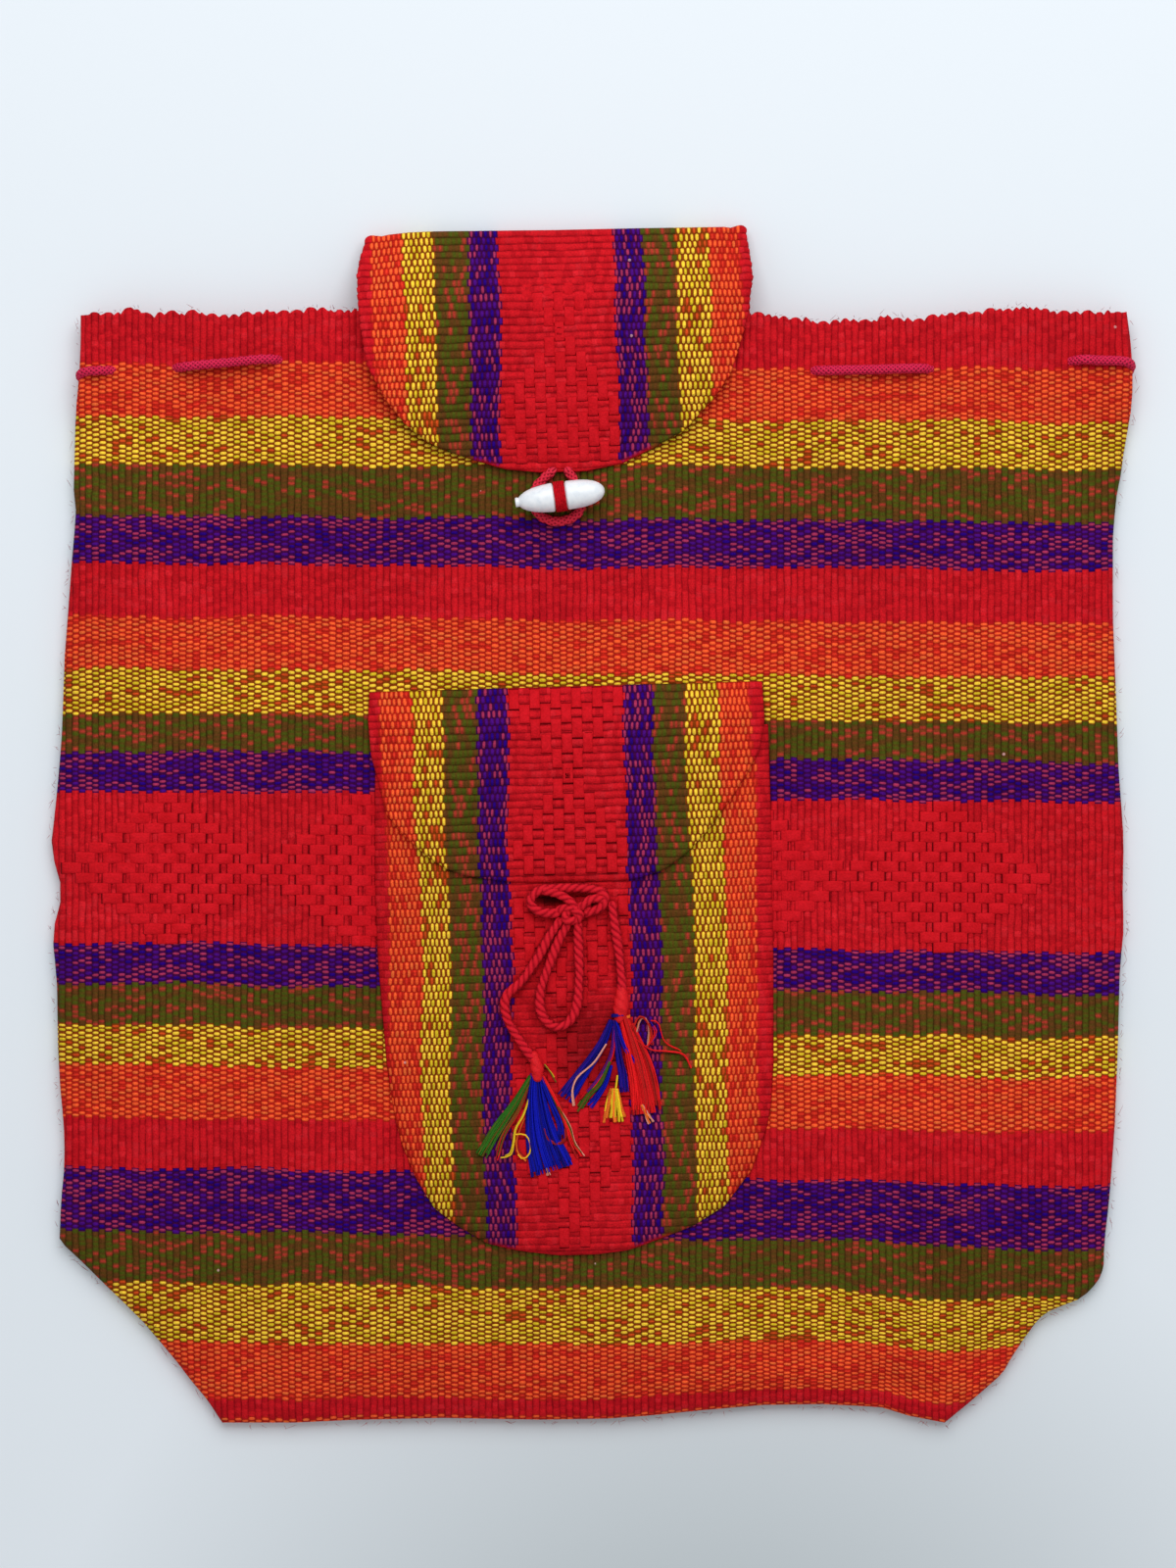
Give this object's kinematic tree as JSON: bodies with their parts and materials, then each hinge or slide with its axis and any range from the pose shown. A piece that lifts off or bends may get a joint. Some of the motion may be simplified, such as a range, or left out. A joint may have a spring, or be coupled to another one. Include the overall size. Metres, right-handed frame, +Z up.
{
  "type": "backpack",
  "caption": "Soft hand-woven striped cotton drawstring backpack with a flap, toggle closure, front pocket, tasselled tie and shoulder straps, lying on its back.",
  "frame": {"origin": "middle of the outer box on the surface that the bag lies on", "axes": "+X across the bag, +Y towards its mouth, +Z up out of its front"},
  "size_m": [0.3867, 0.4284, 0.0275],
  "materials": {
    "striped_cloth": "hand-woven ribbed cotton in cross stripes of red, orange, yellow, green and purple",
    "striped_cloth_turned": "the same ribbed cotton turned so that its stripes run up and down",
    "toggle_plastic": "semi-gloss off-white",
    "toggle_tape": "woven red tape",
    "braided_cord": "braided pink cotton cord",
    "strap_webbing": "plain dark red cotton webbing",
    "red_yarn": "plied, slightly fuzzy red yarn",
    "tassel_yarn": "loose cotton and acrylic yarn, mostly blue"
  },
  "bodies": {
    "bag": {"bag_body": "striped_cloth", "main_flap": "striped_cloth_turned", "pocket_pouch": "striped_cloth_turned", "pocket_flap": "striped_cloth_turned", "flap_loop": "braided_cord", "drawstring": "braided_cord", "drawstring_knot": "braided_cord", "strap_left": "strap_webbing", "strap_right": "strap_webbing", "tie_lacing": "red_yarn", "tie_knot": "red_yarn", "tie_bow": "red_yarn", "tie_tail_left": "red_yarn", "tie_tail_right": "red_yarn", "tassel_left": "tassel_yarn", "tassel_right": "tassel_yarn"},
    "toggle": {"toggle": "toggle_plastic", "toggle_tape": "toggle_tape"}
  },
  "joints": [
    {"name": "toggle_turn", "type": "hinge", "parent": "bag", "child": "toggle", "pos_m": [-0.01115, 0.11737, 0.0136], "axis": [0, 0, 1], "range_deg": [-90, 90]}
  ]
}
